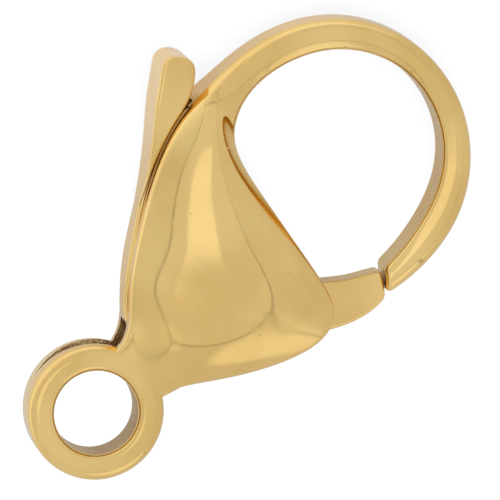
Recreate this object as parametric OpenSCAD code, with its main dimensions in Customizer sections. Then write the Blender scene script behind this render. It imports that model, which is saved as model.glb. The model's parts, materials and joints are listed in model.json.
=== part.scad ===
/* [Eye] */
// Radius of the round hole that the chain's ring goes through
eye_bore_r = 1.15; // [0.9:0.05:1.2]
// Outer radius of the eye
eye_r = 1.86; // [1.8:0.02:1.9]
// Thickness of the eye and of the hook's rims
eye_t = 1.56; // [1.4:0.02:1.7]

/* [Hook] */
// Distance of the hook's centre ahead of the eye's centre
hook_x = 9.6; // [9.5:0.05:9.7]
// Distance of the hook's centre to the lever's side
hook_y = 0.3; // [0.2:0.05:0.4]

/* [Body] */
// Thickness of the cast walls over the hollow
wall = 0.42; // [0.35:0.01:0.5]
// Width of the slot that the lever turns in
slot_w = 1.04; // [1.0:0.01:1.1]

/* [Lever] */
// Thickness of the lever inside the slot
lever_t = 0.9; // [0.8:0.01:0.92]
// Thickness of the thumb tab at its top
tab_t = 1.9; // [1.6:0.05:2.2]
// Gap between the gate's end and the hook's tip
tip_gap = 0.05; // [0.04:0.01:0.08]
// Turn of the lever from closed, in degrees
lever_open = 0; // [0:1:18]

/* [Pivot] */
// Distance of the pivot ahead of the eye's centre
pivot_x = 2.95; // [2.9:0.01:3.0]
// Distance of the pivot to the lever's side
pivot_y = 0.3; // [0.2:0.01:0.4]
// Radius of the pivot pin
pin_r = 0.4; // [0.35:0.01:0.42]
// Length of the pivot pin
pin_l = 2.2; // [2.0:0.02:2.24]

/* [Hidden] */

// Lean of the clasp as it lies on its belly, its tab and the hook's far edge, in degrees
lean_x = -3.68;
lean_y = 7.96;
// Colour of the polished gold plating, and how finely the turned shapes are drawn
gold = [0.85, 0.70, 0.42];
smooth = 96;
// Gap round the pin in the lever's hole, and in its seats in the body
running_gap = 0.04;
seat_gap = 0.01;
// Radii of the rounded edges of the eye, of its bore, of the lever, and of the tab towards the body
eye_edge_r = 0.3;
bore_edge_r = 0.2;
lever_edge_r = 0.1;
tab_inner_r = 0.12;
// The most of a section's width that one rounded edge may take, where the section is narrow
most_edge = 0.45;
// How far the tab's faces stand over its rims, and how round the hook's and the tab's faces are
tab_crown = 0.015;
even_round = 0.6;
// Radius of the bosses that carry the pin on both walls, at the slot
boss_r = 0.6;
// The gate's end is an arc of radius gate_r about the pivot. The body is cleared for it from gate_clear_r
// outwards, over the angles that it sweeps, from sweep_from and sweep_turn round
gate_r = 6.1;
gate_clear_r = 5.2;
sweep_from = -52;
sweep_turn = 40;
// The groove goes this deep into the eye. It is pointed at groove_tip_x, as wide as the slot at
// groove_full_x, and stays on the lever's side of groove_y
groove_d = 0.38;
groove_tip_x = -0.45;
groove_full_x = 2;
groove_y = 0.4;
// The hollow runs between these places of the body's rows, and is open on the gate's side from mouth_from.
// It is drawn in flat strips from edge to edge.
hollow_from = 1.7;
hollow_to = 9.95;
hollow_step = 0.25;
hollow_strips = 14;
mouth_from = 4.9;
mouth = 0.4;
// More than the part's greatest half height, for what cuts right through it
through = 4;

// Cross sections of the belly, from the neck at the eye to the hook's root. Each goes from the lever's
// side (ax, ay) to the gate's side (bx, by). half is the rim's half thickness, ra and rb round its two
// edges, crown is how far the face stands over the rim, and peak is the crown's place from a to b. round
// is small where the crown is a ridge with straight flanks, and over 1 where it is an even arch.
//   ax     ay     bx     by    half   ra    rb   crown  peak  round
belly_rows = [
    [1.10,  0.82,  1.20, -0.92, 0.57, 0.06, 0.12, 0.00, 0.63, 0.42],
    [1.45,  0.83,  1.60, -0.90, 0.70, 0.08, 0.12, 0.08, 0.65, 0.64],
    [1.90,  0.88,  2.25, -1.18, 0.85, 0.08, 0.12, 0.22, 0.64, 1.06],
    [2.35,  1.15,  3.20, -1.88, 1.00, 0.10, 0.12, 0.50, 0.63, 1.70],
    [2.90,  1.75,  4.45, -2.60, 1.05, 0.10, 0.12, 0.67, 0.54, 2.29],
    [3.62,  2.33,  5.65, -3.02, 1.05, 0.10, 0.10, 0.72, 0.46, 2.50],
    [4.50,  2.90,  6.58, -2.75, 1.05, 0.10, 0.10, 0.86, 0.45, 2.41],
    [5.45,  3.48,  6.85, -1.70, 1.05, 0.10, 0.10, 0.76, 0.45, 1.73],
    [6.40,  3.92,  7.05, -0.50, 1.02, 0.10, 0.10, 0.63, 0.40, 1.03],
    [7.20,  4.15,  7.28,  0.80, 0.98, 0.12, 0.10, 0.58, 0.38, 0.65],
    [7.85,  4.22,  7.48,  1.95, 0.92, 0.15, 0.12, 0.51, 0.39, 0.56],
    [8.40,  4.20,  7.82,  2.80, 0.85, 0.20, 0.13, 0.32, 0.41, 0.58]
];

// Cross sections of the hook, at every hook_step degrees from hook_start round to the tip. inner and
// outer are its radii there, more is what it stands over the eye's thickness on each face, and the last
// three columns are as above.
hook_start = 106;
hook_step = 18;
//  inner  outer  more   ra    rb   crown
hook_rows = [
    [3.05,  4.00, 0.13, 0.24, 0.13, 0.13],
    [2.94,  3.80, 0.05, 0.26, 0.12, 0.11],
    [2.86,  3.72, 0.00, 0.27, 0.12, 0.10],
    [2.85,  3.68, 0.00, 0.27, 0.12, 0.10],
    [2.84,  3.64, 0.00, 0.27, 0.12, 0.10],
    [2.84,  3.61, 0.00, 0.27, 0.12, 0.10],
    [2.83,  3.57, 0.00, 0.27, 0.12, 0.10],
    [2.82,  3.57, 0.00, 0.27, 0.12, 0.10],
    [2.83,  3.60, 0.00, 0.27, 0.12, 0.10],
    [2.84,  3.66, 0.00, 0.27, 0.12, 0.10],
    [2.86,  3.75, 0.00, 0.27, 0.12, 0.10],
    [2.98,  3.84, 0.00, 0.26, 0.12, 0.10],
    [3.30,  4.02, 0.00, 0.24, 0.12, 0.10],
    [3.75,  4.30, 0.00, 0.24, 0.12, 0.10]
];

// Cross sections of the lever's plate, from the gate's end past the pivot and up into the tab. Each goes
// from the lever's outer edge (ax, ay) to its inner edge (bx, by).
//   ax     ay     bx     by
plate_plan = [
    [7.90, -3.46,  8.30, -2.96],
    [7.35, -3.52,  7.90, -2.68],
    [6.75, -3.38,  7.42, -2.44],
    [6.15, -3.10,  6.88, -1.98],
    [5.60, -2.74,  6.20, -1.40],
    [4.85, -2.00,  5.50, -0.75],
    [3.90, -1.40,  4.80, -0.10],
    [2.90, -0.72,  4.25,  0.38],
    [2.20,  0.10,  3.95,  0.62],
    [2.12,  1.12,  3.95,  0.75],
    [2.87,  1.83,  4.05,  1.05],
    [3.72,  2.46,  4.45,  1.55],
    [4.55,  3.05,  5.15,  2.20],
    [5.38,  3.60,  6.02,  2.85],
    [6.10,  4.06,  6.80,  3.40],
    [6.70,  4.54,  7.42,  4.00],
    [7.20,  4.90,  7.78,  4.45],
    [7.55,  5.08,  7.85,  4.80]
];

// Cross sections of the thumb tab, which lies along the outside of the body's edge, from its thin lower
// end to its round top. full is the share of the tab's thickness that it has there.
//   ax     ay     bx     by   full
tab_plan = [
    [4.72,  3.16,  4.74,  3.13, 0.50],
    [5.08,  3.40,  5.12,  3.32, 0.60],
    [5.40,  3.60,  5.46,  3.52, 0.74],
    [5.75,  3.86,  5.84,  3.71, 0.84],
    [6.25,  4.25,  6.44,  3.97, 0.92],
    [6.75,  4.70,  7.06,  4.18, 0.97],
    [7.15,  5.02,  7.60,  4.28, 1.00],
    [7.47,  5.24,  8.02,  4.48, 1.00],
    [7.70,  5.42,  8.27,  4.66, 1.00],
    [7.90,  5.57,  8.46,  4.84, 1.00],
    [8.10,  5.60,  8.54,  5.02, 1.00],
    [8.29,  5.51,  8.50,  5.22, 1.00],
    [8.37,  5.41,  8.43,  5.33, 1.00]
];

// A section of the lever in the columns of the belly's
function flat_row(p, half, inner_r, crown) =
    [p[0], p[1], p[2], p[3], half, lever_edge_r, inner_r, crown, 0.5, even_round];
plate_rows = [for (p = plate_plan) flat_row(p, lever_t / 2, lever_edge_r, 0)];
tab_rows = [for (p = tab_plan) flat_row(p, p[4] * tab_t / 2, tab_inner_r, tab_crown)];

// A point at a radius and an angle about the hook's centre
function on_hook(r, angle) = [hook_x + r * cos(angle), hook_y + r * sin(angle)];

// What a circle's control points stand out by, so that the spline through their turns meets the circle
hook_gain = 3 / (2 + cos(hook_step));

// The hook's section number k in the columns of the belly's
function hook_section(k) =
    let (h = hook_rows[k], angle = hook_start - k * hook_step,
         a = on_hook(h[1] * hook_gain, angle), b = on_hook(h[0] * hook_gain, angle))
    [a.x, a.y, b.x, b.y, eye_t / 2 + h[2] - h[5], h[3], h[4], h[5], 0.5, even_round];

body_rows = concat(belly_rows, [for (k = [0:len(hook_rows) - 1]) hook_section(k)]);

// The row at place u, counted in rows, on the uniform cubic B-spline whose control rows these are
function row_at(rows, u) =
    let (i = floor(u), f = u - i, last = len(rows) - 1,
         near = [for (k = [-1:2]) rows[max(0, min(last, i + k))]],
         w = [pow(1 - f, 3), 3 * pow(f, 3) - 6 * f * f + 4, 1 + 3 * f + 3 * f * f - 3 * pow(f, 3), pow(f, 3)])
    (w[0] * near[0] + w[1] * near[1] + w[2] * near[2] + w[3] * near[3]) / 6;

// Width of a row's section, from edge to edge
function row_width(row) = norm([row[2] - row[0], row[3] - row[1]]);

// Drop of a rounded edge of radius r at a distance d in from it
function edge_drop(d, r) = d >= r ? 0 : r - sqrt(max(0, r * r - pow(r - d, 2)));

// The dome's share of its crown at t, from 0 at both edges to 1 at its peak: a hyperbola's flanks, which
// meet in a ridge of that roundness
function dome(t, peak, round) =
    let (skew = (0.5 - peak) / (peak * (1 - peak)), s = 2 * (t + skew * t * (1 - t)) - 1)
    (norm([1, round]) - norm([s, round])) / (norm([1, round]) - round);

// Height of a row's face over the middle plane at t, from 0 at edge a to 1 at edge b
function face_z(row, t) = let (w = row_width(row))
    row[4] - edge_drop(t * w, row[5]) - edge_drop((1 - t) * w, row[6]) + row[7] * dome(t, row[8], row[9]);

// Places across a row's face: along the two rounded edges, which take less than half of it each, and
// evenly between them
function face_steps(row, turns, flats) =
    let (w = row_width(row), ta = min(most_edge, row[5] / w), tb = min(most_edge, row[6] / w))
    concat([for (k = [0:turns]) ta * (1 - cos(90 * k / turns))],
           [for (k = [1:flats - 1]) ta + (1 - ta - tb) * k / flats],
           [for (k = [turns:-1:0]) 1 - tb * (1 - cos(90 * k / turns))]);

// The closed ring of a row: over its face from a to b, and back over the mirrored face
function ring(row, turns, flats) = let (ts = face_steps(row, turns, flats), n = len(ts))
    concat([for (t = ts) [row[0] + (row[2] - row[0]) * t, row[1] + (row[3] - row[1]) * t, face_z(row, t)]],
           [for (k = [n - 1:-1:0]) let (t = ts[k])
               [row[0] + (row[2] - row[0]) * t, row[1] + (row[3] - row[1]) * t, -face_z(row, t)]]);

// A closed solid through rings of equally many points, with a flat end at each side
module loft(rings) {
    n = len(rings[0]);
    last = len(rings) - 1;
    sides = [for (i = [0:last - 1], j = [0:n - 1]) let (k = (j + 1) % n)
        [i * n + j, (i + 1) * n + j, (i + 1) * n + k, i * n + k]];
    polyhedron([for (r = rings, p = r) p],
               concat(sides, [[for (j = [0:n - 1]) j]], [[for (j = [n - 1:-1:0]) last * n + j]]),
               convexity = 8);
}

// The solid of a table's rows between two places, with a number of steps to each row
module row_solid(rows, from, to, steps, turns, flats)
    loft([for (k = [0:(to - from) * steps]) ring(row_at(rows, from + k / steps), turns, flats)]);

// Height of the hollow's roof: the face set back by the wall, flat over the slot, and drawn down to the
// slot round the pivot, which leaves a boss for the pin
function roof_z(row, t, x, y) =
    max(slot_w / 2, min(face_z(row, max(0, min(1, t))) - wall,
                        slot_w / 2 + max(0, norm([x - pivot_x, y - pivot_y]) - boss_r)));

// The rings of the hollow. reach_b is how far it runs out past edge b, or how far inside that edge it
// ends where that is negative.
function hollow_ring(row, reach_a, reach_b, flats) =
    let (w = row_width(row), from = -reach_a / w, to = 1 + reach_b / w,
         top = [for (k = [0:flats])
                    let (t = from + (to - from) * k / flats,
                         x = row[0] + (row[2] - row[0]) * t, y = row[1] + (row[3] - row[1]) * t)
                    [x, y, roof_z(row, t, x, y)]])
    concat(top, [for (k = [flats:-1:0]) [top[k].x, top[k].y, -top[k].z]]);

module hollow()
    loft([for (u = [hollow_from:hollow_step:hollow_to])
        hollow_ring(row_at(body_rows, u), mouth, u > mouth_from ? mouth : -wall, hollow_strips)]);

module eye_profile() {
    half = eye_t / 2;
    ri = eye_bore_r;
    difference() {
        translate([ri, -half]) square([eye_r - ri, eye_t]);
        for (side = [-1, 1]) {
            eye_corner(eye_r, side * half, -eye_edge_r, side);
            eye_corner(ri, side * half, bore_edge_r, side);
        }
    }
}

// What a round edge takes off a square corner at (x, y), with its centre r in from both faces
module eye_corner(x, y, r, side)
    difference() {
        translate([min(x, x + r), min(y, y - side * abs(r))]) square([abs(r), abs(r)]);
        translate([x + r, y - side * abs(r)]) circle(r = abs(r), $fn = smooth);
    }

// The sweep of the gate's end about the pivot, from one radius to another
module gate_sweep(from, to)
    translate([pivot_x, pivot_y, 0]) rotate([0, 0, sweep_from])
        rotate_extrude(angle = sweep_turn, $fn = smooth)
            translate([from, -through / 2]) square([to - from, through]);

// The cast skin of the belly and the hook round its hollow, open where the eye's ring goes in
module casting()
    resize([0, 0, 0]) difference() {
        row_solid(body_rows, -1, len(body_rows), steps = 2, turns = 3, flats = 8);
        hollow();
        gate_sweep(gate_clear_r, gate_r + tip_gap);
        cylinder(r = (eye_bore_r + eye_r) / 2, h = through, center = true, $fn = 32);
    }

// The lever's slot runs on round the eye's outer side as a groove that narrows to nothing
module eye_groove()
    intersection() {
        translate([0, groove_y, 0]) rotate([-90, 0, 0]) linear_extrude(eye_r)
            polygon([[groove_tip_x, 0], [groove_full_x, slot_w / 2], [groove_full_x, -slot_w / 2]]);
        difference() {
            cylinder(r = 2 * eye_r, h = eye_t, center = true, $fn = smooth);
            cylinder(r = eye_r - groove_d, h = through, center = true, $fn = smooth);
        }
    }

// The clasp as it lies, with the eye's centre at the origin
module lying() rotate([lean_x, lean_y, 0]) children();

module body() color(gold) lying()
    difference() {
        union() {
            casting();
            rotate_extrude($fn = smooth) eye_profile();
        }
        eye_groove();
        translate([pivot_x, pivot_y, 0])
            cylinder(r = pin_r + seat_gap, h = pin_l + 2 * seat_gap, center = true, $fn = smooth);
    }

// The lever's plate with the tab cast onto its upper end
module lever_casting()
    resize([0, 0, 0]) union() {
        row_solid(plate_rows, -1, len(plate_rows), steps = 2, turns = 2, flats = 4);
        row_solid(tab_rows, -1, len(tab_rows), steps = 3, turns = 3, flats = 4);
    }

module lever_at_rest()
    difference() {
        lever_casting();
        translate([pivot_x, pivot_y, 0])
            cylinder(r = pin_r + running_gap, h = through, center = true, $fn = smooth);
        gate_sweep(gate_r, gate_r + pin_l);
    }

// The lever, turned open about the pivot
module lever() color(gold) lying()
    translate([pivot_x, pivot_y, 0]) rotate([0, 0, lever_open]) translate([-pivot_x, -pivot_y, 0])
        lever_at_rest();

module pivot_pin() color(gold) lying()
    translate([pivot_x, pivot_y, 0]) cylinder(r = pin_r, h = pin_l, center = true, $fn = smooth);

body();
lever();
pivot_pin();
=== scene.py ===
import json

import bmesh
import bpy
import numpy as np
from mathutils import Matrix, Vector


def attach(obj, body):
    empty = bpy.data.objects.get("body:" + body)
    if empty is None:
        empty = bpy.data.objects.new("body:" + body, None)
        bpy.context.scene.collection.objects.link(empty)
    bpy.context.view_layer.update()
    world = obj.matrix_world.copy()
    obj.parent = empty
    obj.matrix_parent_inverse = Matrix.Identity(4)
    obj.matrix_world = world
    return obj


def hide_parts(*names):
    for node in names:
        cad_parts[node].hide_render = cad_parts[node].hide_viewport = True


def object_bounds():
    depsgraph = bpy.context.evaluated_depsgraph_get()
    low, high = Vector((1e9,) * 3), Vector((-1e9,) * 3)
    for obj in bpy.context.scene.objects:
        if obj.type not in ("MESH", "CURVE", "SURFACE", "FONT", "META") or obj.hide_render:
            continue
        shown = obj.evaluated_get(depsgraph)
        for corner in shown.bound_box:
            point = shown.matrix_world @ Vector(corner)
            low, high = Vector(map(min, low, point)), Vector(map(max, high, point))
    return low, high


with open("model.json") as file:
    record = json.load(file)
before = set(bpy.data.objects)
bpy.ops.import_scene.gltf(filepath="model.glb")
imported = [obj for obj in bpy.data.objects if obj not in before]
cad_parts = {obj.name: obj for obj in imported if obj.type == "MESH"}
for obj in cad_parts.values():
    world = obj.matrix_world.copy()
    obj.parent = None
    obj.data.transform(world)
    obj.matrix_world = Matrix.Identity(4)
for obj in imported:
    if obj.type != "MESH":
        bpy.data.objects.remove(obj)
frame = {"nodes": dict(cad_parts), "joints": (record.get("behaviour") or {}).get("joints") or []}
cad_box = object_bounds()

# How the clasp lies. It is a flat casting with a fat belly, so on a table it leans on the belly, the tab and
# the hook's far edge. The lever's hinge stands square to the clasp's middle plane, which gives that lean.
mm = 0.001
hinge = frame["joints"][0]
square_on = np.array(hinge["axis"], float)
lean_x, lean_y = -np.arcsin(square_on[1]), np.arctan2(square_on[0], square_on[2])
turn_x = np.array([[1, 0, 0], [0, np.cos(lean_x), -np.sin(lean_x)], [0, np.sin(lean_x), np.cos(lean_x)]])
turn_y = np.array([[np.cos(lean_y), 0, np.sin(lean_y)], [0, 1, 0], [-np.sin(lean_y), 0, np.cos(lean_y)]])
lean = turn_y @ turn_x


def as_it_lies(points):
    """Points in mm along the clasp's own axes (x to the hook, y to the tab, z out of its face), leaned as
    it lies and in metres: first turned by lean_x about X, then by lean_y about Y."""
    return points @ lean.T * mm


# The body: one lost-wax casting in brass, plated with gold and polished. A hollow belly, slit along its edge
# for the lever, runs out into a solid hook at one end and into a neck and eye at the other. Its inside, the
# slot and the eye's bore stay dull, as cast, because the polishing wheel doesn't reach them.

# Sections of the belly from the neck to the hook's root: edge a on the tab's side, edge b on the gate's side,
# half thickness at the rims, radii of the two rims, rise of the face between them, where it is highest, and
# how round it is there: small for a ridge with straight flanks, over 1 for an even arch.
#     ax     ay     bx     by    half    ra    rb   crown  peak  round
belly_rows = np.array([
    [1.10,  0.82,  1.20, -0.92,  0.57,  0.06,  0.12,  0.00,  0.63,  0.42],
    [1.45,  0.83,  1.60, -0.90,  0.70,  0.08,  0.12,  0.08,  0.65,  0.64],
    [1.90,  0.88,  2.25, -1.18,  0.85,  0.08,  0.12,  0.22,  0.64,  1.06],
    [2.35,  1.15,  3.20, -1.88,  1.00,  0.10,  0.12,  0.50,  0.63,  1.70],
    [2.90,  1.75,  4.45, -2.60,  1.05,  0.10,  0.12,  0.67,  0.54,  2.29],
    [3.62,  2.33,  5.65, -3.02,  1.05,  0.10,  0.10,  0.72,  0.46,  2.50],
    [4.50,  2.90,  6.58, -2.75,  1.05,  0.10,  0.10,  0.86,  0.45,  2.41],
    [5.45,  3.48,  6.85, -1.70,  1.05,  0.10,  0.10,  0.76,  0.45,  1.73],
    [6.40,  3.92,  7.05, -0.50,  1.02,  0.10,  0.10,  0.63,  0.40,  1.03],
    [7.20,  4.15,  7.28,  0.80,  0.98,  0.12,  0.10,  0.58,  0.38,  0.65],
    [7.85,  4.22,  7.48,  1.95,  0.92,  0.15,  0.12,  0.51,  0.39,  0.56],
    [8.40,  4.20,  7.82,  2.80,  0.85,  0.20,  0.13,  0.32,  0.41,  0.58],
])
# Sections of the hook, one at every hook_step round its centre to the tip: inner and outer radius, what it
# stands over the eye's thickness, radii of the two rims, and rise of the face.
#     inner  outer  more    ra    rb   crown
hook_rows = np.array([
    [3.05,  4.00,  0.13,  0.24,  0.13,  0.13],
    [2.94,  3.80,  0.05,  0.26,  0.12,  0.11],
    [2.86,  3.72,  0.00,  0.27,  0.12,  0.10],
    [2.85,  3.68,  0.00,  0.27,  0.12,  0.10],
    [2.84,  3.64,  0.00,  0.27,  0.12,  0.10],
    [2.84,  3.61,  0.00,  0.27,  0.12,  0.10],
    [2.83,  3.57,  0.00,  0.27,  0.12,  0.10],
    [2.82,  3.57,  0.00,  0.27,  0.12,  0.10],
    [2.83,  3.60,  0.00,  0.27,  0.12,  0.10],
    [2.84,  3.66,  0.00,  0.27,  0.12,  0.10],
    [2.86,  3.75,  0.00,  0.27,  0.12,  0.10],
    [2.98,  3.84,  0.00,  0.26,  0.12,  0.10],
    [3.30,  4.02,  0.00,  0.24,  0.12,  0.10],
    [3.75,  4.30,  0.00,  0.24,  0.12,  0.10],
])
# The hook's centre, the angle of its first section, and the angle from each section to the next.
hook_centre, hook_start, hook_step = np.array([9.6, 0.3]), np.radians(106), np.radians(18)
# How thick the eye and the belly's walls are, and how wide the slot is.
eye_t, wall, slot_w = 1.56, 0.42, 1.04
# The lever's pivot, the radius about it at which the gate ends, and the gap from there to the hook's tip.
pivot, gate_r, tip_gap = np.array([2.95, 0.3]), 6.1, 0.05
# Places along the body, counted in sections: the slot opens in edge a at the first, in both edges at the
# second, and ends at the third.
slot_from, mouth_from, slot_to = 1.7, 4.9, 9.95
even_peak, even_round = 0.5, 0.6

# The hook's sections stand out a little from its circle, because the spline runs inside its control rows.
hook_angle = hook_start - hook_step * np.arange(len(hook_rows))
hook_way = np.stack([np.cos(hook_angle), np.sin(hook_angle)], axis=1) * 3 / (2 + np.cos(hook_step))
hook_inner, hook_outer, hook_more, hook_ra, hook_rb, hook_crown = hook_rows.T
body_rows = np.vstack([belly_rows, np.column_stack([
    hook_centre + hook_outer[:, None] * hook_way, hook_centre + hook_inner[:, None] * hook_way,
    eye_t / 2 + hook_more - hook_crown, hook_ra, hook_rb, hook_crown,
    np.full(len(hook_rows), even_peak), np.full(len(hook_rows), even_round)])])


def rows_at(rows, u):
    """The rows of a table at the places u, on the uniform cubic B-spline that has them as control rows:
    ((1-f)^3, 3f^3-6f^2+4, 1+3f+3f^2-3f^3, f^3) / 6 of the four rows round u, with f its fraction."""
    whole = np.floor(u).astype(int)
    f = (u - whole)[..., None]
    near = [rows[np.clip(whole + k, 0, len(rows) - 1)] for k in (-1, 0, 1, 2)]
    share = [(1 - f) ** 3, 3 * f**3 - 6 * f**2 + 4, 1 + 3 * f + 3 * f**2 - 3 * f**3, f**3]
    return sum(s * n for s, n in zip(share, near)) / 6


def edge_drop(distance, radius):
    """How far a rounded edge lies below its face at a distance in from the side: r - sqrt(r^2 - (r-d)^2)."""
    inside = np.clip(radius - distance, 0, radius)
    return radius - np.sqrt(np.maximum(0, radius**2 - inside**2))


def face_height(row, t):
    """Height of the face over the middle plane at t of the way from edge a to edge b: the rim's half
    thickness, less the two rounded edges, plus the crown times a hyperbola that is 1 at its peak and 0 at
    s = -1 and 1: (sqrt(1+e^2) - sqrt(s^2+e^2)) / (sqrt(1+e^2) - e), with e how round its top is."""
    width = np.hypot(row[..., 2] - row[..., 0], row[..., 3] - row[..., 1])
    peak = row[..., 8]
    skew = (0.5 - peak) / (peak * (1 - peak))
    s = 2 * (t + skew * t * (1 - t)) - 1
    e = row[..., 9]
    rise = row[..., 7] * (np.hypot(1, e) - np.hypot(s, e)) / (np.hypot(1, e) - e)
    return row[..., 4] - edge_drop(t * width, row[..., 5]) - edge_drop((1 - t) * width, row[..., 6]) + rise


def across(row, t, z):
    """Points at t of the way across the section and at the height z."""
    return np.stack([row[..., 0] + (row[..., 2] - row[..., 0]) * t,
                     row[..., 1] + (row[..., 3] - row[..., 1]) * t, z + 0 * t], axis=-1)


# Steps of the profile of one face: up the wall beside the slot, up the wall above it, round a rim, and over
# the face. most_edge is the largest share of the width that a rim takes, and most_lip of the wall's height
# that the slot takes.
wall_low, wall_high, rim, face, most_edge, most_lip = 3, 5, 6, 40, 0.45, 0.9
quarter = np.linspace(0, np.pi / 2, rim + 1)
low, high = np.arange(wall_low) / wall_low, np.arange(wall_high) / wall_high
across_face = np.linspace(0, 1, face + 1)[1:-1]
count = 2 * (wall_low + wall_high + rim + 1) + len(across_face)


def skin_profile(row, lip):
    """Across one face from the middle plane on side a to the middle plane on side b: up the wall beside the
    slot, up the wall above it, round the rim, over the face, and down the same way. lip is the slot's half
    width. Gives t and z, with the profile's steps as the last axis."""
    width = np.hypot(row[..., 2] - row[..., 0], row[..., 3] - row[..., 1])[..., None]
    half, ra, rb = (row[..., k, None] for k in (4, 5, 6))
    turn_a = np.minimum(most_edge, ra / width) * (1 - np.cos(quarter))
    turn_b = np.minimum(most_edge, rb / width) * (1 - np.cos(quarter))
    upright = np.zeros(half.shape[:-1] + (wall_low + wall_high,))
    start, end = turn_a[..., -1:], 1 - turn_b[..., -1:]
    t = np.concatenate([upright, turn_a, start + (end - start) * across_face, 1 - turn_b[..., ::-1],
                        1 + upright], axis=-1)
    z = face_height(row[..., None, :], t)
    lip_a, lip_b = np.minimum(lip, most_lip * (half - ra)), np.minimum(lip, most_lip * (half - rb))
    z[..., :wall_low] = lip_a * low
    z[..., wall_low:wall_low + wall_high] = lip_a + (half - ra - lip_a) * high
    z[..., count - wall_low:] = lip_b * low[::-1]
    z[..., count - wall_low - wall_high:count - wall_low] = lip_b + (half - rb - lip_b) * high[::-1]
    return t, z


def skin(rows, u, lip, inset=0.0):
    """The skin of a table's rows at the places u: each row's profile, drawn in at both edges by the inset
    over the width and in height by the inset over the half thickness. Where u is a grid, each line of the
    profile has its own column of places."""
    row = rows_at(rows, u)
    t, z = skin_profile(row, lip)
    if u.ndim == 2:
        line = np.arange(count)
        t, z = t[:, line, line], z[:, line, line]
    else:
        row = row[:, None]
    width = np.hypot(row[..., 2] - row[..., 0], row[..., 3] - row[..., 1])
    t = 0.5 + (t - 0.5) * (1 - 2 * inset / width)
    return across(row, t, z * (1 - inset / row[..., 4]))


def reach(rows, lip, about, radius, places):
    """For each line of the profile, the place u where it first crosses a cylinder of that radius about a
    point: between the two places on either side of it, in proportion to how far off they are."""
    lines = skin(rows, places, lip)
    away = np.hypot(lines[..., 0] - about[0], lines[..., 1] - about[1]) - radius
    first = np.argmax((away[1:] > 0) != (away[:-1] > 0), axis=0)
    line = np.arange(count)
    before, after = away[first, line], away[first + 1, line]
    return places[first] + (places[first + 1] - places[first]) * before / (before - after)


def both_faces(patches):
    """Patches and their mirror images in the middle plane. A patch is a grid of points and what is kept of
    its quads, and is turned over where its rows and columns would make it face inwards."""
    mirrored = [(points[::-1] * [1, 1, -1], kept[::-1]) for points, kept in patches]
    return patches + mirrored


def whole(points):
    """A patch with all its quads kept."""
    return points, np.ones((points.shape[0] - 1, points.shape[1] - 1), bool)


def node(tree, kind, settings, inputs):
    """A node with its settings and inputs. An input is a number, a vector or another node's output, by the
    name or the number of its socket."""
    made = tree.nodes.new(kind)
    for key, value in settings.items():
        setattr(made, key, value)
    for key, value in inputs.items():
        if isinstance(value, bpy.types.NodeSocket):
            tree.links.new(value, made.inputs[key])
        else:
            made.inputs[key].default_value = value
    return made.outputs


def spread(tree, value, low, high, at_low, at_high):
    """at_low below low, at_high above high, and a smooth step between them."""
    return node(tree, "ShaderNodeMapRange", {"interpolation_type": "SMOOTHSTEP"},
                {"Value": value, "From Min": low, "From Max": high, "To Min": at_low, "To Max": at_high})[0]


def cloud(tree, place, size, detail=2.0):
    """Soft noise from 0 to 1 with features of that size in mm."""
    return node(tree, "ShaderNodeTexNoise", {}, {
        "Vector": place, "Scale": 1 / (size * mm), "Detail": detail})[0]


def mixed(tree, share, first, second):
    """A colour from the first to the second one, by the share from 0 to 1."""
    return node(tree, "ShaderNodeMix", {"data_type": "RGBA"}, {0: share, 6: first, 7: second})[2]


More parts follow.
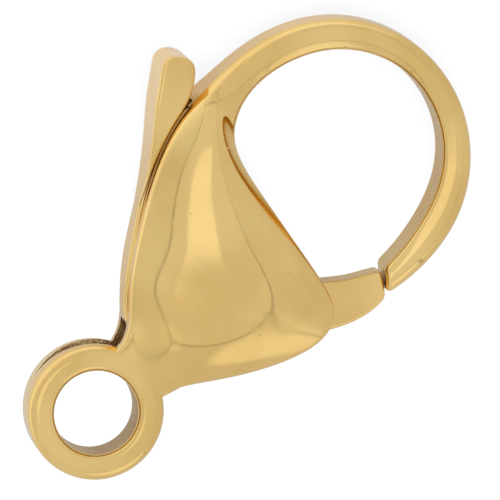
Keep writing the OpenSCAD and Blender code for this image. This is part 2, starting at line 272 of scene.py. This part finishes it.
def gold_plate(name, tones, edge_tone, nook_shade_tone, polish, wave, wave_size, scratch, pit_share):
    """Gold plating over cast brass. Its tone drifts from the first to the second of the tones over some
    millimetres, with patches of the third. It is worn paler along its edges. In the nooks it is rougher, as
    the polishing wheel doesn't reach them, and its tone is darkened towards the nook tone there: painted
    shade.
    Roughness drifts between the two values of polish. The surface waves gently, with scratches along two ways
    and pits in a share of its cells. Depths are in mm."""
    drift_size, patch_size, dull_size, pit_cell = 2.6, 0.5, 1.1, 0.16
    edge_reach, nook_reach, feelers = 0.12, 0.35, 6
    most_patch, most_worn, most_nook = 0.35, 0.6, 0.75
    pit_depth, pit_rough, nook_rough = 0.012, 0.3, 0.18
    scratch_ways = ((0.8, 14, 0.05), (-0.5, 18, 0.06))

    material = bpy.data.materials.new(name)
    material.use_nodes = True
    tree = material.node_tree
    shader = tree.nodes["Principled BSDF"]
    shader.inputs["Metallic"].default_value = 1.0
    place = node(tree, "ShaderNodeTexCoord", {}, {})["Object"]

    drift = spread(tree, cloud(tree, place, drift_size), 0.35, 0.65, 0, 1)
    patch = spread(tree, cloud(tree, place, patch_size, 3.0), 0.4, 0.75, 0, most_patch)
    tone = mixed(tree, patch, mixed(tree, drift, tones[0], tones[1]), tones[2])
    worn = node(tree, "ShaderNodeAmbientOcclusion", {"inside": True, "samples": feelers}, {
        "Distance": edge_reach * mm})["AO"]
    worn = spread(tree, worn, 0.35, 0.75, most_worn, 0)
    # Painted shade in the nooks: an occlusion mask that darkens the tone there. It also makes them rougher,
    # as unpolished.
    nook_dull_and_shade = node(tree, "ShaderNodeAmbientOcclusion", {"samples": feelers}, {
        "Distance": nook_reach * mm})["AO"]
    nook_dull_and_shade = spread(tree, nook_dull_and_shade, 0.3, 0.75, most_nook, 0)
    # The tone goes paler along the worn edges, and darker in the nooks with painted shade.
    tone = mixed(tree, nook_dull_and_shade, mixed(tree, worn, tone, edge_tone), nook_shade_tone)
    tree.links.new(tone, shader.inputs["Base Color"])

    scratches = []
    for angle, length, width in scratch_ways:
        way = node(tree, "ShaderNodeMapping", {"vector_type": "TEXTURE"}, {
            "Vector": place, "Rotation": (0, 0, angle), "Scale": (length, 1, 1)})[0]
        scratches.append(cloud(tree, way, width, 1.0))
    cells = node(tree, "ShaderNodeTexVoronoi", {}, {"Vector": place, "Scale": 1 / (pit_cell * mm)})
    chosen = node(tree, "ShaderNodeSeparateColor", {}, {"Color": cells["Color"]})[0]
    chosen = spread(tree, chosen, 1 - pit_share, 1.001 - pit_share, 0, 1)
    pits = node(tree, "ShaderNodeMath", {"operation": "MULTIPLY"}, {
        0: spread(tree, cells["Distance"], 0.08, 0.26, 1, 0), 1: chosen})[0]
    rough = spread(tree, cloud(tree, place, dull_size, 3.0), 0.4, 0.7, polish[0], polish[1])
    for share, more in ((pits, pit_rough), (nook_dull_and_shade, nook_rough)):
        rough = node(tree, "ShaderNodeMath", {"operation": "MULTIPLY_ADD"}, {0: share, 1: more, 2: rough})[0]
    tree.links.new(rough, shader.inputs["Roughness"])

    bump = node(tree, "ShaderNodeBump", {}, {
        "Height": cloud(tree, place, wave_size, 1.0), "Distance": wave * mm})[0]
    for height, depth in ((scratches[0], scratch), (scratches[1], scratch), (pits, -pit_depth)):
        bump = node(tree, "ShaderNodeBump", {}, {
            "Height": height, "Distance": depth * mm, "Normal": bump})[0]
    tree.links.new(bump, shader.inputs["Normal"])
    return material


# The nook tones of both finishes are painted shade, darkening their nooks.
polished = gold_plate(
    "polished_gold", tones=[(0.95, 0.675, 0.265, 1), (0.85, 0.58, 0.205, 1), (0.90, 0.65, 0.27, 1)],
    edge_tone=(0.97, 0.76, 0.42, 1), nook_shade_tone=(0.76, 0.59, 0.34, 1), polish=(0.06, 0.13),
    wave=0.014, wave_size=1.6, scratch=0.0002, pit_share=0.03)
as_cast = gold_plate(
    "gold_as_cast", tones=[(0.66, 0.48, 0.25, 1), (0.52, 0.37, 0.19, 1), (0.78, 0.60, 0.34, 1)],
    edge_tone=(0.85, 0.67, 0.40, 1), nook_shade_tone=(0.40, 0.31, 0.20, 1), polish=(0.34, 0.5),
    wave=0.02, wave_size=0.09, scratch=0.001, pit_share=0.2)
merge_gap = 2e-7


def mesh_of(name, patches, unpolished=()):
    """One mesh of the patches' quads, those of the unpolished patches as cast. Points of neighbouring patches
    that meet are merged."""
    points, quads, first = [], [], 0
    for grid, kept in [*patches, *unpolished]:
        rows, columns = grid.shape[:2]
        corner = first + np.arange(rows * columns).reshape(rows, columns)
        quad = np.stack([corner[:-1, :-1], corner[:-1, 1:], corner[1:, 1:], corner[1:, :-1]], axis=-1)
        quads.append(quad[kept])
        points.append(grid.reshape(-1, 3))
        first += rows * columns
    mesh = bpy.data.meshes.new(name)
    mesh.from_pydata(as_it_lies(np.concatenate(points)), [], np.concatenate(quads))
    mesh.materials.append(polished)
    mesh.materials.append(as_cast)
    shiny = sum(len(q) for q in quads[:len(patches)])
    mesh.polygons.foreach_set("material_index", (np.arange(len(mesh.polygons)) >= shiny).astype(np.int32))
    sheet = bmesh.new()
    sheet.from_mesh(mesh)
    bmesh.ops.remove_doubles(sheet, verts=sheet.verts, dist=merge_gap)
    bmesh.ops.dissolve_degenerate(sheet, edges=sheet.edges, dist=merge_gap)
    loose = [v for v in sheet.verts if not v.link_faces]
    bmesh.ops.delete(sheet, geom=loose, context="VERTS")
    sheet.to_mesh(mesh)
    sheet.free()
    piece = bpy.data.objects.new(name, mesh)
    bpy.context.scene.collection.objects.link(piece)
    return piece


def end_cap(ring, steps=4):
    """A patch that closes a ring of points by shrinking it in steps to its middle."""
    middle = ring.mean(axis=0)
    shrink = np.linspace(1, 0, steps + 1)[:, None, None]
    return whole(middle + (ring - middle) * shrink)


def around(half_ring):
    """A closed ring from the half of it on one face: that half, and its mirror image back to the start."""
    back = half_ring[::-1] * [1, 1, -1]
    return np.concatenate([half_ring, back[1:]])


lip = slot_w / 2
neck_steps, shut_steps, open_steps, hook_steps, edge_steps = 24, 48, 84, 199, 6
# Places close together along the whole body, and those of them by the eye and by the hook's tip.
close = 0.02
everywhere = np.arange(-1, len(body_rows) + close / 2, close)
by_the_eye, by_the_tip = everywhere[everywhere < 5], everywhere[everywhere > 20]

eye_bore_r, eye_r = 1.15, 1.86
neck_start = reach(body_rows, lip, (0, 0), (eye_bore_r + eye_r) / 2, by_the_eye)
along_neck = np.linspace(0, 1, neck_steps + 1)[:, None]
neck = skin(body_rows, neck_start + (slot_from - neck_start) * along_neck, lip)
belly_shut = skin(body_rows, np.linspace(slot_from, mouth_from, shut_steps + 1), lip)
belly_open = skin(body_rows, np.linspace(mouth_from, slot_to, open_steps + 1), lip)

tip_edge_r = 0.14
turn = np.linspace(0, np.pi / 2, edge_steps + 1)


def hook_line(drop):
    """Where each line of the skin is at that drop back from the cut that ends the hook at the gate."""
    return reach(body_rows, lip, pivot, gate_r + tip_gap + drop, by_the_tip)


tip_start = hook_line(tip_edge_r)
along_hook = np.linspace(0, 1, hook_steps + 1)[:, None]
hook = skin(body_rows, slot_to + (tip_start - slot_to) * along_hook, lip)
tip = np.array([
    skin(body_rows, hook_line(tip_edge_r * (1 - np.sin(a)))[None], lip, tip_edge_r * (1 - np.cos(a)))[0]
    for a in turn])

line_is_low_a = np.arange(count - 1) < wall_low
line_is_low_b = np.arange(count - 1) >= count - 1 - wall_low
shut = np.ones((1, count - 1), bool)
slotted_a, slotted = shut & ~line_is_low_a, shut & ~line_is_low_a & ~line_is_low_b
outer = [whole(neck), (belly_shut, np.repeat(slotted_a, shut_steps, axis=0)),
         (belly_open, np.repeat(slotted, open_steps, axis=0)), whole(hook), whole(tip)]

# Steps across the hollow's roof and over the gate side's wall, and radius of the boss that the pin sits in.
over_slot, over_wall, boss_r = 26, 5, 0.6


def roof(u):
    """The roof of the hollow under one face at the places u, from edge a to edge b, the points over the gate
    side's wall last: the face's height less the wall, at least the slot's half width. It comes down to the
    slot over the boss, and rises from there one up for one out, and from both edges two up for one out."""
    row = rows_at(body_rows, u)[:, None]
    width = np.hypot(row[..., 2] - row[..., 0], row[..., 3] - row[..., 1])
    inner = 1 - wall / width
    t = np.concatenate([inner * np.linspace(0, 1, over_slot + 1),
                        inner + (1 - inner) * np.linspace(0, 1, over_wall + 1)[1:]], axis=1)
    z = np.maximum(face_height(row, t) - wall, lip)
    lines = across(row, t, z)
    from_pin = np.hypot(lines[..., 0] - pivot[0], lines[..., 1] - pivot[1])
    from_edge = 2 * np.minimum(t, 1 - t) * width
    lines[..., 2] = np.minimum(z, lip + np.maximum(0, np.minimum(from_pin - boss_r, from_edge)))
    return lines


def upright_wall(top):
    """A wall from a line of points down to the middle plane: their heights times 1 to 0 in even steps."""
    return top[:, None] * np.stack([np.ones(wall_low + 1), np.ones(wall_low + 1),
                                    np.arange(wall_low, -1, -1) / wall_low], axis=-1)


roof_shut = roof(np.linspace(slot_from, mouth_from, shut_steps + 1))[:, :over_slot + 1]
roof_open = roof(np.linspace(mouth_from, slot_to, open_steps + 1))
inner_wall = upright_wall(roof_shut[:, -1])
slot_start, slot_end = upright_wall(roof_shut[0]), upright_wall(roof_open[-1])
wall_end = upright_wall(roof_open[0, over_slot:])


def turned_over(points):
    """A whole patch that faces the other way: its rows in the reverse order."""
    return whole(points[::-1])


inside = [turned_over(roof_shut), turned_over(roof_open), turned_over(inner_wall),
          turned_over(slot_start), whole(slot_end), turned_over(wall_end)]
caps = [turned_over(end_cap(around(neck[0]))[0]), end_cap(around(tip[-1]))]
body = mesh_of("body_casting", both_faces(outer) + caps, both_faces(inside))

# The eye is the same casting: a flat ring of brass with rounded edges that the neck runs into. The slot runs
# on round its outer side as a groove, cut by the saw that opens the casting for the lever.
eye_edge_r, bore_edge_r = 0.3, 0.2
eye_turns, eye_bends, eye_flats, sharp = 160, 8, 12, np.radians(34)


def eye_surface(turns, bends, flats):
    """The ring: its half profile, from the bore's wall over the bore's edge, the face and the outer edge to
    the outer wall, carried round the bore's axis."""
    bend = np.linspace(0, np.pi / 2, bends)
    half = eye_t / 2
    bore_edge = np.stack([eye_bore_r + bore_edge_r * (1 - np.sin(bend)),
                          half - bore_edge_r * (1 - np.cos(bend))])
    across_t = np.linspace(0, 1, flats + 2)[1:-1]
    flat_r = eye_bore_r + bore_edge_r + (eye_r - eye_edge_r - eye_bore_r - bore_edge_r) * across_t
    face_line = np.stack([flat_r, half + 0 * flat_r])
    outer_edge = np.stack([eye_r - eye_edge_r * (1 - np.sin(bend)),
                           half - eye_edge_r * (1 - np.cos(bend))])
    inmost, outmost = np.array([[eye_bore_r], [0]]), np.array([[eye_r], [0]])
    r, z = np.concatenate([inmost, bore_edge[:, ::-1], face_line, outer_edge, outmost], axis=1)
    angle = np.linspace(0, 2 * np.pi, turns + 1)[:, None]
    return np.stack([r * np.cos(angle), r * np.sin(angle), z + 0 * angle], axis=-1)


def cut(piece, cutter, how):
    """Joins the cutter to the piece or takes it away, and leaves only the result."""
    step = piece.modifiers.new(how, "BOOLEAN")
    step.operation, step.solver, step.object = how, "MANIFOLD", cutter
    bpy.context.view_layer.objects.active = piece
    bpy.ops.object.modifier_apply(modifier=step.name)
    bpy.data.objects.remove(cutter)


ring, kept = whole(eye_surface(eye_turns, eye_bends, eye_flats))
in_bore = kept & (np.arange(kept.shape[1]) == 0)
eye = mesh_of("eye", both_faces([(ring, kept & ~in_bore)]), both_faces([(ring, in_bore)]))
cut(body, eye, "UNION")

# The groove: a box carried round the eye's axis, as wide as the slot at groove_full_x and thinning from there
# to groove_thin of that at groove_tip_x.
groove_floor_r, groove_out_r, groove_tip_x, groove_full_x, groove_thin = 1.48, 2.6, -0.45, 2.0, 0.002
groove_from, groove_to, groove_lines = 12, 103.9, 60
groove_angle = np.radians(np.linspace(groove_from, groove_to, groove_lines))[:, None]
groove_r = np.array([groove_floor_r, groove_out_r, groove_out_r, groove_floor_r, groove_floor_r])
groove_side = np.array([1, 1, -1, -1, 1])
groove_x = groove_r * np.cos(groove_angle)
groove_half = lip * np.clip((groove_x - groove_tip_x) / (groove_full_x - groove_tip_x), groove_thin, 1)
groove = np.stack([groove_x, groove_r * np.sin(groove_angle), groove_half * groove_side], axis=-1)
groove_cutter = mesh_of("groove", [], [whole(groove), end_cap(groove[-1], 1), end_cap(groove[0, ::-1], 1)])
cut(body, groove_cutter, "DIFFERENCE")
body.data.set_sharp_from_angle(angle=sharp)
body.data.shade_smooth()
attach(body, "body")
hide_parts("body")

# The lever: one casting of the same brass, plated and polished. Its flat plate swings in the slot on the pin.
# One end is the gate that shuts the hook, the other carries the thumb tab along the outside of the body.

# Sections of the plate, from the gate's end past the pivot into the tab: its outer edge a and inner edge b.
#     ax     ay     bx     by
plate_plan = np.array([
    [7.90, -3.46,  8.30, -2.96],
    [7.35, -3.52,  7.90, -2.68],
    [6.75, -3.38,  7.42, -2.44],
    [6.15, -3.10,  6.88, -1.98],
    [5.60, -2.74,  6.20, -1.40],
    [4.85, -2.00,  5.50, -0.75],
    [3.90, -1.40,  4.80, -0.10],
    [2.90, -0.72,  4.25,  0.38],
    [2.20,  0.10,  3.95,  0.62],
    [2.12,  1.12,  3.95,  0.75],
    [2.87,  1.83,  4.05,  1.05],
    [3.72,  2.46,  4.45,  1.55],
    [4.55,  3.05,  5.15,  2.20],
    [5.38,  3.60,  6.02,  2.85],
    [6.10,  4.06,  6.80,  3.40],
    [6.70,  4.54,  7.42,  4.00],
    [7.20,  4.90,  7.78,  4.45],
    [7.55,  5.08,  7.85,  4.80],
])
# Sections of the tab, from its thin lower end to its round top. full is the share of its thickness there.
#     ax     ay     bx     by   full
tab_plan = np.array([
    [4.72,  3.16,  4.74,  3.13, 0.50],
    [5.08,  3.40,  5.12,  3.32, 0.60],
    [5.40,  3.60,  5.46,  3.52, 0.74],
    [5.75,  3.86,  5.84,  3.71, 0.84],
    [6.25,  4.25,  6.44,  3.97, 0.92],
    [6.75,  4.70,  7.06,  4.18, 0.97],
    [7.15,  5.02,  7.60,  4.28, 1.00],
    [7.47,  5.24,  8.02,  4.48, 1.00],
    [7.70,  5.42,  8.27,  4.66, 1.00],
    [7.90,  5.57,  8.46,  4.84, 1.00],
    [8.10,  5.60,  8.54,  5.02, 1.00],
    [8.29,  5.51,  8.50,  5.22, 1.00],
    [8.37,  5.41,  8.43,  5.33, 1.00],
])
lever_t, tab_t, lever_edge_r, tab_inner_r, tab_crown = 0.9, 1.9, 0.1, 0.12, 0.015
pin_r, running_gap, gate_edge_r, inner_lip = 0.4, 0.04, 0.1, 0.2
plate_lines, tab_lines, hole_lines = 240, 180, 97


def flat_rows(plan, half, inner_r, crown):
    """The sections of a flat piece in the columns of the belly's: its plan, its half thicknesses, and the
    same rims and rise of the face all along."""
    same = [lever_edge_r, inner_r, crown, even_peak, even_round]
    return np.column_stack([plan, half, np.tile(same, (len(plan), 1))])


plate_rows = flat_rows(plate_plan, np.full(len(plate_plan), lever_t / 2), lever_edge_r, 0)
tab_rows = flat_rows(tab_plan[:, :4], tab_plan[:, 4] * tab_t / 2, tab_inner_r, tab_crown)
by_the_gate = np.arange(-1, 4, close)


def gate_line(drop):
    """Where each line of the plate's skin is at that drop back from the gate's end."""
    return reach(plate_rows, inner_lip, pivot, gate_r - drop, by_the_gate)


gate_start = gate_line(gate_edge_r)
gate_end = np.array([
    skin(plate_rows, gate_line(gate_edge_r * (1 - np.sin(a)))[None], inner_lip,
         gate_edge_r * (1 - np.cos(a)))[0]
    for a in turn[::-1]])
along_plate = np.linspace(0, 1, plate_lines)[:, None]
plate = skin(plate_rows, gate_start + (len(plate_rows) - gate_start) * along_plate, inner_lip)
lever = mesh_of("thumb_lever", both_faces([whole(gate_end), whole(plate)]) + [
    turned_over(end_cap(around(gate_end[0]))[0]), end_cap(around(plate[-1]))])
tab_skin = skin(tab_rows, np.linspace(-1, len(tab_rows), tab_lines), inner_lip)
tab = mesh_of("tab", both_faces([whole(tab_skin)]) + [
    turned_over(end_cap(around(tab_skin[0]))[0]), end_cap(around(tab_skin[-1]))])
cut(lever, tab, "UNION")
hole_angle = np.linspace(0, 2 * np.pi, hole_lines)[:, None]
hole_r = np.array([0, 1, 1, 0]) * (pin_r + running_gap)
hole = np.stack([pivot[0] + hole_r * np.cos(hole_angle), pivot[1] + hole_r * np.sin(hole_angle),
                 np.array([1, 1, -1, -1]) + 0 * hole_angle], axis=-1)
cut(lever, mesh_of("pin_hole", [], [whole(hole)]), "DIFFERENCE")
lever.data.set_sharp_from_angle(angle=sharp)
lever.data.shade_smooth()
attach(lever, "lever")
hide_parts("lever")

# The pivot pin: a plain brass rod that sits in blind seats in both walls of the belly, plated with them. The
# lever turns on it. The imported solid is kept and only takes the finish.
pin = frame["nodes"]["pivot_pin"]
pin.data.materials.clear()
pin.data.materials.append(polished)

# The floor: a plain white table top under the clasp, at the height that it rests on. To the camera it glows
# evenly, with a painted shadow under the clasp. To the gold it is a plain diffuse top that glows as well,
# brighter on the lever's side: a painted pool of light.
floor_z, floor_half = cad_box[0][2], 1.0
# Where the floor's painted glow is dim and bright and how strong it is there, then how far the painted shadow
# reaches and the glow in and out of it.
dim_at, bright_at, dim, bright = -2, 12, 0.08, 0.45
shade_reach, in_shade, in_light = 0.9, 0.84, 1.03
floor_mesh = bpy.data.meshes.new("floor")
floor_corners = np.array([(-1, -1), (1, -1), (1, 1), (-1, 1)]) * floor_half
floor_mesh.from_pydata(np.column_stack([floor_corners, np.full(4, floor_z)]), [], [(0, 1, 2, 3)])
floor = bpy.data.objects.new("floor", floor_mesh)
bpy.context.scene.collection.objects.link(floor)
white = bpy.data.materials.new("white_table")
white.use_nodes = True
table = white.node_tree.nodes["Principled BSDF"]
table.inputs["Base Color"].default_value = (0.80, 0.80, 0.80, 1)
table.inputs["Roughness"].default_value = 0.8
table.inputs["Emission Color"].default_value = (1, 1, 1, 1)
tree = white.node_tree
# A painted pool of light: the table glows, more on the lever's side, and lights what the gold reflects there.
lever_side = node(tree, "ShaderNodeVectorMath", {"operation": "DOT_PRODUCT"}, {
    0: node(tree, "ShaderNodeTexCoord", {}, {})["Object"], 1: tuple(lean @ [0, 1, 0])})["Value"]
painted_floor_glow = spread(tree, lever_side, dim_at * mm, bright_at * mm, dim, bright)
tree.links.new(painted_floor_glow, table.inputs["Emission Strength"])
# A painted shadow: to the camera the floor's glow is dimmed near the clasp, by ambient occlusion.
painted_shadow = node(tree, "ShaderNodeAmbientOcclusion", {}, {"Distance": shade_reach * mm})["AO"]
even = node(tree, "ShaderNodeEmission", {}, {"Strength": spread(tree, painted_shadow, 0, 1, in_shade, in_light)})[0]
seen = node(tree, "ShaderNodeLightPath", {}, {})["Is Camera Ray"]
either = node(tree, "ShaderNodeMixShader", {}, {0: seen, 1: table.outputs["BSDF"], 2: even})[0]
tree.links.new(either, tree.nodes["Material Output"].inputs["Surface"])
floor.data.materials.append(white)

# The camera looks down on the clasp's face, leaned a little to the lever's side, with the hook to the upper
# right. view_right, view_up and view_back are the picture's own directions.
view_lean = np.radians(13.2)
view_back = np.array([0, np.sin(view_lean), np.cos(view_lean)])
across_clasp = np.array([0, np.cos(view_lean), -np.sin(view_lean)])
view_right = (np.array([1, 0, 0]) - across_clasp) / np.sqrt(2)
view_up = (np.array([1, 0, 0]) + across_clasp) / np.sqrt(2)
frame_w, aim_right, aim_up, lens, sensor = 13.5, 4.123, 4.428, 600, 36
aim = np.array([0, 0, eye_t / 2]) + aim_right * view_right + aim_up * view_up
eye_point = aim + view_back * frame_w * lens / sensor
camera = bpy.data.objects.new("camera", bpy.data.cameras.new("camera"))
camera.data.lens, camera.data.sensor_width = lens, sensor
camera.data.clip_start, camera.data.clip_end = 0.01, 10
placed = np.eye(4)
placed[:3, :3] = lean @ np.column_stack([view_right, view_up, view_back])
placed[:3, 3] = as_it_lies(eye_point)
camera.matrix_world = Matrix(placed.tolist())
bpy.context.scene.collection.objects.link(camera)
bpy.context.scene.camera = camera

# The light: a square tent of white cloth round the clasp, sewn along its edges, with a long lamp over it and
# two lamps behind the cloth at its lower corners. The polished faces reflect the seams as thin dark lines.
world = bpy.data.worlds.new("light_tent")
bpy.context.scene.world = world
world.use_nodes = True
sky = world.node_tree
sky.nodes.clear()


def maths(operation, a, b=0.0):
    """The operation on a and b, each a number or a node's output."""
    return node(sky, "ShaderNodeMath", {"operation": operation}, {0: a, 1: b})[0]


def towards(direction):
    """How far the ray goes along a direction of the clasp: their dot product."""
    return node(sky, "ShaderNodeVectorMath", {"operation": "DOT_PRODUCT"}, {
        0: ray, 1: tuple(lean @ direction)})["Value"]


def ramp(value, low, high, at_low, at_high):
    """A smooth step between at_low and at_high, as spread gives it."""
    return spread(sky, value, low, high, at_low, at_high)


ray = node(sky, "ShaderNodeTexCoord", {}, {})["Generated"]
along, above, facing = towards(view_right), towards(view_up), towards(view_back)
# The tent's walls stand this far out to the left, right, below and above, for one unit up to its roof. Then
# the seams' half width, how far their soft edge goes, and how dark they are.
tent_left, tent_right, tent_low, tent_high = 0.60, 0.97, 0.91, 1.0
seam_half, seam_soft, seam_dark, roof_soft = 0.006, 0.030, 0.45, 0.03
# Each edge of the lamp over the tent, as the two places between which its light comes up.
lamp_left, lamp_right, lamp_low, lamp_high = (-0.36, -0.31), (0.11, 0.17), (-0.45, -0.2), (0.0, 0.06)
# How bright the cloth is, lowest away from the lever's side and highest on it, and what each lamp adds.
cloth_from, cloth_to, cloth_low, cloth_high = 0.55, 0.95, 0.72, 1.0
roof_adds, lamp_adds, right_adds, left_adds = 0.04, 0.24, 0.24, 0.10
sideways = maths("MAXIMUM", maths("DIVIDE", along, tent_right), maths("DIVIDE", along, -tent_left))
upwards = maths("MAXIMUM", maths("DIVIDE", above, tent_high), maths("DIVIDE", above, -tent_low))
most = maths("MAXIMUM", maths("MAXIMUM", sideways, upwards), facing)
least = maths("MINIMUM", maths("MINIMUM", sideways, upwards), facing)
middle = maths("SUBTRACT", maths("ADD", maths("ADD", sideways, upwards), facing), maths("ADD", most, least))
seam = ramp(maths("DIVIDE", maths("SUBTRACT", most, middle), most), seam_half, seam_soft, 1, 0)
on_roof = ramp(maths("SUBTRACT", facing, maths("MAXIMUM", sideways, upwards)), 0, roof_soft, 0, 1)
lamp = maths("MULTIPLY", maths("MULTIPLY", ramp(along, *lamp_left, 0, 1), ramp(along, *lamp_right, 1, 0)),
             maths("MULTIPLY", ramp(above, *lamp_low, 0, 1), ramp(above, *lamp_high, 1, 0)))


def glow(direction, size, soft):
    """1 within an angle of a direction of the tent, falling softly to 0: by the ray's dot product with it."""
    way = np.array(direction) / np.linalg.norm(direction)
    near = towards(way[0] * view_right + way[1] * view_up + way[2] * view_back)
    return ramp(near, np.cos(size + soft), np.cos(size), 0, 1)


corner_right = maths("MULTIPLY", glow((0.44, -0.80, 0.34), 0.22, 0.22), maths("SUBTRACT", 1, on_roof))
corner_left = glow((-0.40, -0.60, 0.68), 0.05, 0.1)
lit = ramp(towards(across_clasp), cloth_from, cloth_to, cloth_low, cloth_high)
for share, adds in ((on_roof, roof_adds), (lamp, lamp_adds), (corner_right, right_adds),
                    (corner_left, left_adds)):
    lit = maths("ADD", lit, maths("MULTIPLY", share, adds))
lit = maths("MULTIPLY", lit, maths("SUBTRACT", 1, maths("MULTIPLY", seam, seam_dark)))
light = node(sky, "ShaderNodeBackground", {}, {"Color": (1, 1, 1, 1), "Strength": lit})[0]
node(sky, "ShaderNodeOutputWorld", {}, {"Surface": light})
bpy.context.scene.view_settings.view_transform = "Standard"
